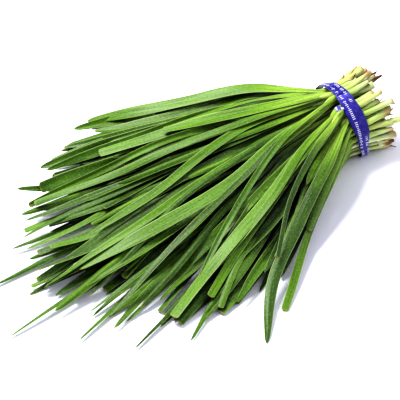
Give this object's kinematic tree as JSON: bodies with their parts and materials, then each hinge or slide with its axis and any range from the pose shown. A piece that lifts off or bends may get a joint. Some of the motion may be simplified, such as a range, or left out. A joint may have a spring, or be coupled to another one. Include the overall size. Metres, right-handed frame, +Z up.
{
  "type": "garlic chive bunch",
  "caption": "Tied bunch of flat-leaved chives lying down: pale oval sheaths cut square at one end, held by a flat band, and long flat blades fanning out at the other.",
  "frame": {"origin": "centre of the bounding box on the surface the bunch lies on", "axes": "+X from the blade tips to the cut ends, +Z up, +Y across the fan"},
  "size_m": [0.291, 0.2176, 0.0504],
  "materials": {
    "leaf": "satin",
    "tie": "satin"
  },
  "bodies": {
    "root": {"shoot_pair_01": "leaf", "shoot_pair_02": "leaf", "shoot_pair_03": "leaf", "shoot_pair_04": "leaf", "shoot_pair_05": "leaf", "shoot_pair_06": "leaf", "shoot_pair_07": "leaf", "shoot_pair_08": "leaf", "shoot_pair_09": "leaf", "shoot_pair_10": "leaf", "shoot_pair_11": "leaf", "shoot_pair_12": "leaf", "shoot_pair_13": "leaf", "shoot_pair_14": "leaf", "shoot_pair_15": "leaf", "shoot_pair_16": "leaf", "shoot_pair_17": "leaf", "shoot_pair_18": "leaf", "shoot_pair_19": "leaf", "shoot_pair_20": "leaf", "shoot_pair_21": "leaf", "shoot_pair_22": "leaf", "shoot_pair_23": "leaf", "shoot_pair_24": "leaf", "shoot_pair_25": "leaf", "shoot_pair_26": "leaf", "shoot_pair_27": "leaf", "shoot_pair_28": "leaf", "shoot_pair_29": "leaf", "shoot_pair_30": "leaf", "shoot_pair_31": "leaf", "shoot_pair_32": "leaf", "shoot_pair_33": "leaf", "shoot_pair_34": "leaf", "shoot_pair_35": "leaf", "shoot_pair_36": "leaf", "shoot_pair_37": "leaf", "shoot_pair_38": "leaf", "shoot_pair_39": "leaf", "shoot_pair_40": "leaf", "shoot_pair_41": "leaf", "shoot_pair_42": "leaf", "shoot_pair_43": "leaf", "shoot_pair_44": "leaf", "tie_band": "tie"}
  },
  "joints": []
}
